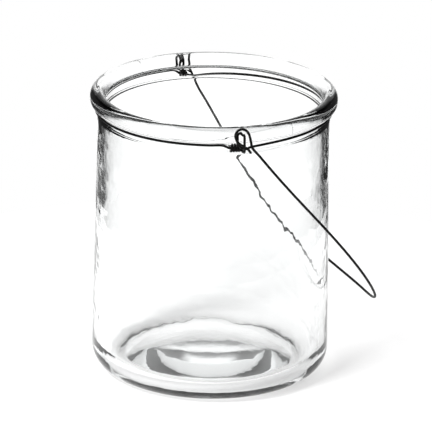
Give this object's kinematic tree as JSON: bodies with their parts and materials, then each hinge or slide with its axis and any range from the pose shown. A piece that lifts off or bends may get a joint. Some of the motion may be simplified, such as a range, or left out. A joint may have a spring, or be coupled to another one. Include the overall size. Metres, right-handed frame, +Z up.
{
  "type": "glass jar lantern with wire handle",
  "caption": "Round clear glass jar with a thick rolled rim, a black wire ring bound round its neck and a black wire bail handle hooked into two wire eyelets, for a candle or small lamp.",
  "frame": {"origin": "centre of the jar's foot, on the plane it stands on", "axes": "+Z up the jar's axis to the mouth; the resting handle hangs to +X, and -Y is the front, where one eyelet is"},
  "size_m": [0.1258, 0.112, 0.1274],
  "materials": {
    "clear_glass": "polished pressed glass",
    "black_wire": "black annealed, dull"
  },
  "bodies": {
    "jar": {"glass_jar": "clear_glass"},
    "neck_ring": {"left_neck_wire": "black_wire", "right_neck_wire": "black_wire"},
    "handle": {"bail_handle": "black_wire"}
  },
  "joints": [
    {"name": "ring_turn", "type": "hinge", "parent": "jar", "child": "neck_ring", "pos_m": [0, 0, 0.1183], "axis": [0, 0, 1], "continuous": true},
    {"name": "handle_swing", "type": "hinge", "parent": "neck_ring", "child": "handle", "pos_m": [-0.00181, -0.00036, 0.1234], "axis": [0.2418, -0.9699, 0.0284], "range_deg": [0, 286]}
  ]
}
